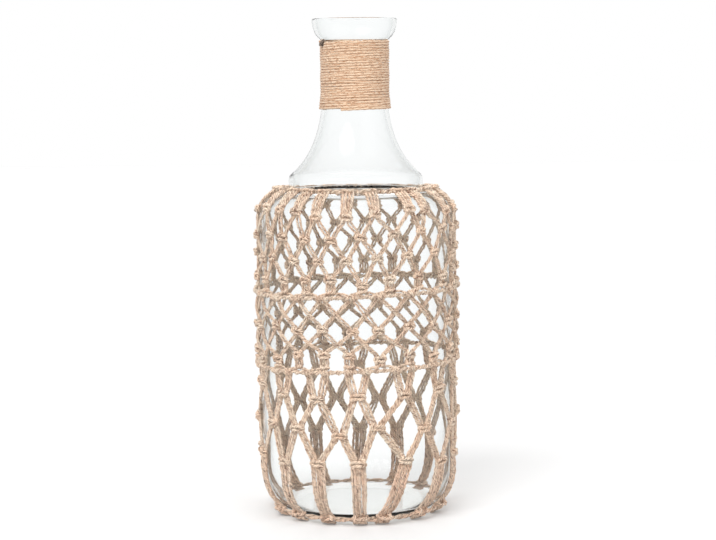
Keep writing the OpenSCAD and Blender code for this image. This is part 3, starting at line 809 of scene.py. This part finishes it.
def makeBase():
    straps, knots = [], []
    for k, (angle, height) in enumerate(placed["lower3"]):
        low = near(angle, placed["base"][k][0])
        at = baseHeight(low)
        for n, u in enumerate(base["strapUs"]):
            ways = [spot(angle, height, u * 0.85, -1, 1.3), spot(angle, height, u, -4, 1.25)]
            for share in (0.25, 0.5, 0.75):
                middle, rise = angle + (low - angle) * share, height + (at - height) * share
                lift = 1.15 + (0.75 if n % 2 else 0) + abs(stray(1.2))
                ways.append(spot(middle, rise, u * (1 - 0.14 * share) + stray(1.5), 0, lift))
            ways += [spot(low, at, u * 0.8, 3.5, 1.4), spot(low, at, u * 0.8, 2.3, 3.4),
                     spot(low, at, u * 0.8, 0.5, 5.4), spot(low, at, u * 0.85, -2, 4.6)]
            ways.append(spot(low, at, u * 0.95 + stray(), base["tail"] - at + draws.uniform(-0.6, 0.8), 4.0))
            straps.append(laidCord(ways, 2.4, ropeCord))
        flip = 1 if k % 2 else -1
        knots += squareKnot(low, at + 2.2, 5.0, flip, 2.2)
    return straps, knots


baseStraps, baseKnots = makeBase()
cordPiece("base_straps", baseStraps, juteBase)
cordPiece("base_knots", baseKnots, juteBase)
baseRing = ringCords(baseHeight, base["ringOut"], 17, 1.1, size=ropeCord)
cordPiece("base_ring_cord", baseRing, juteBase)
print("base made")

# Stage, light and camera

stage = dict(
    floorSize=12.0,
    floorDrop=0.0003,
    floorColour=0.79,
    farColour=0.7,  # of the floor a metre away and further
    floorGlow=0.09,  # what the floor adds for the camera, so that it reads white
    throughGlow=0.44,  # painted light: what it adds on top where it is seen through the bottle's floor, lifting the shadow there
    glowRadius=0.08,  # metres from the axis, the reach of the painted light under the bottle
    worldLight=0.38,
)


# One for what the camera sees straight, mirrored or through glass, and nothing for light on the object
def seenByCamera(tree):
    light = tree.nodes.new("ShaderNodeLightPath")
    seen = mathNode(tree, "MAXIMUM", light.outputs["Is Camera Ray"],
                    mathNode(tree, "MAXIMUM", light.outputs["Is Glossy Ray"], light.outputs["Is Transmission Ray"]))
    direct = mathNode(tree, "LESS_THAN", light.outputs["Diffuse Depth"], 0.5)
    return mathNode(tree, "MULTIPLY", seen, direct)


# Emission for the camera: the floor reads white, and under the bottle painted light is added where it is seen through
# the glass
def whiteGlow(tree, shaderOut, strength, through, under):
    seen = seenByCamera(tree)
    light = tree.nodes.new("ShaderNodeLightPath")
    paintedLightBehindGlass = mathNode(tree, "MULTIPLY", light.outputs["Is Transmission Ray"], through)
    paintedLightBehindGlass = mathNode(tree, "MULTIPLY", paintedLightBehindGlass, under)
    glow = addNode(tree, "ShaderNodeEmission", Color=(1, 1, 1, 1))
    join(tree, mathNode(tree, "MULTIPLY", seen, mathNode(tree, "ADD", paintedLightBehindGlass, strength)),
         glow.inputs["Strength"])
    both = tree.nodes.new("ShaderNodeAddShader")
    join(tree, shaderOut, both.inputs[0])
    join(tree, glow.outputs[0], both.inputs[1])
    return both.outputs[0]


def makeFloor():
    half = stage["floorSize"] / 2
    mesh = bpy.data.meshes.new("floor")
    low = -stage["floorDrop"]
    mesh.from_pydata([(-half, -half, low), (half, -half, low), (half, half, low), (-half, half, low)], [],
                     [(0, 1, 2, 3)])
    material, tree, shader = newMaterial("paleFloor", 0.9)
    shader.inputs["Specular IOR Level"].default_value = 0.0
    place = tree.nodes.new("ShaderNodeTexCoord")
    length = addNode(tree, "ShaderNodeVectorMath", dict(operation="LENGTH"))
    join(tree, place.outputs["Object"], length.inputs[0])
    away = length.outputs["Value"]
    # Floor colour: the near one up to half a metre from the object, fading to the far one at a metre
    close = mathNode(tree, "MULTIPLY", mathNode(tree, "SUBTRACT", 1.0, away), 2.0, clamp=True)
    pale = mathNode(tree, "MULTIPLY", close, stage["floorColour"] - stage["farColour"])
    join(tree, mathNode(tree, "ADD", pale, stage["farColour"]), shader.inputs["Base Color"])
    under = mathNode(tree, "LESS_THAN", away, stage["glowRadius"])
    lit = whiteGlow(tree, shader.outputs[0], stage["floorGlow"], stage["throughGlow"], under)
    join(tree, lit, tree.nodes["Material Output"].inputs["Surface"])
    mesh.materials.append(material)
    floor = bpy.data.objects.new("floor", mesh)
    scene.collection.objects.link(floor)


def makeWorld():
    world = bpy.data.worlds.new("studio")
    world.use_nodes = True
    scene.world = world
    tree = world.node_tree
    background = tree.nodes["Background"]
    seen = seenByCamera(tree)
    strength = mathNode(tree, "ADD", mathNode(tree, "MULTIPLY", seen, 1 - stage["worldLight"]), stage["worldLight"])
    background.inputs["Color"].default_value = (1, 1, 1, 1)
    join(tree, strength, background.inputs["Strength"])


# Soft sun: even light from one direction over the whole floor, so that no edge of it shows
def softSun(name, azimuth, elevation, strength, spread):
    data = bpy.data.lights.new(name, "SUN")
    data.energy = strength
    data.angle = math.radians(spread)
    lamp = bpy.data.objects.new(name, data)
    lamp.visible_glossy = False  # the glass mirrors the white room, not two discs
    scene.collection.objects.link(lamp)
    lamp.rotation_euler = (math.radians(90 - elevation), 0, math.radians(azimuth))


makeFloor()
makeWorld()
softSun("keyLeft", -30, 42, 2.0, 40)
softSun("fillRight", 45, 35, 1.0, 50)
softSun("topBack", 180, 66, 1.15, 50)

camera = dict(
    place=(0.0, -1.600, 0.37044),
    pitch=5.949,  # degrees down
    roll=-0.52,
    focalPixels=1900.0,
    imageWidth=716.0,
    shiftPixels=1.52,
)
cameraData = bpy.data.cameras.new("camera")
cameraData.sensor_width = 36.0
cameraData.lens = camera["focalPixels"] * cameraData.sensor_width / camera["imageWidth"]
cameraData.shift_x = camera["shiftPixels"] / camera["imageWidth"]
cameraObject = bpy.data.objects.new("camera", cameraData)
scene.collection.objects.link(cameraObject)
cameraObject.matrix_world = (Matrix.Translation(camera["place"])
                             @ Matrix.Rotation(math.radians(90 - camera["pitch"]), 4, "X")
                             @ Matrix.Rotation(math.radians(camera["roll"]), 4, "Z"))
scene.camera = cameraObject
print("stage made")
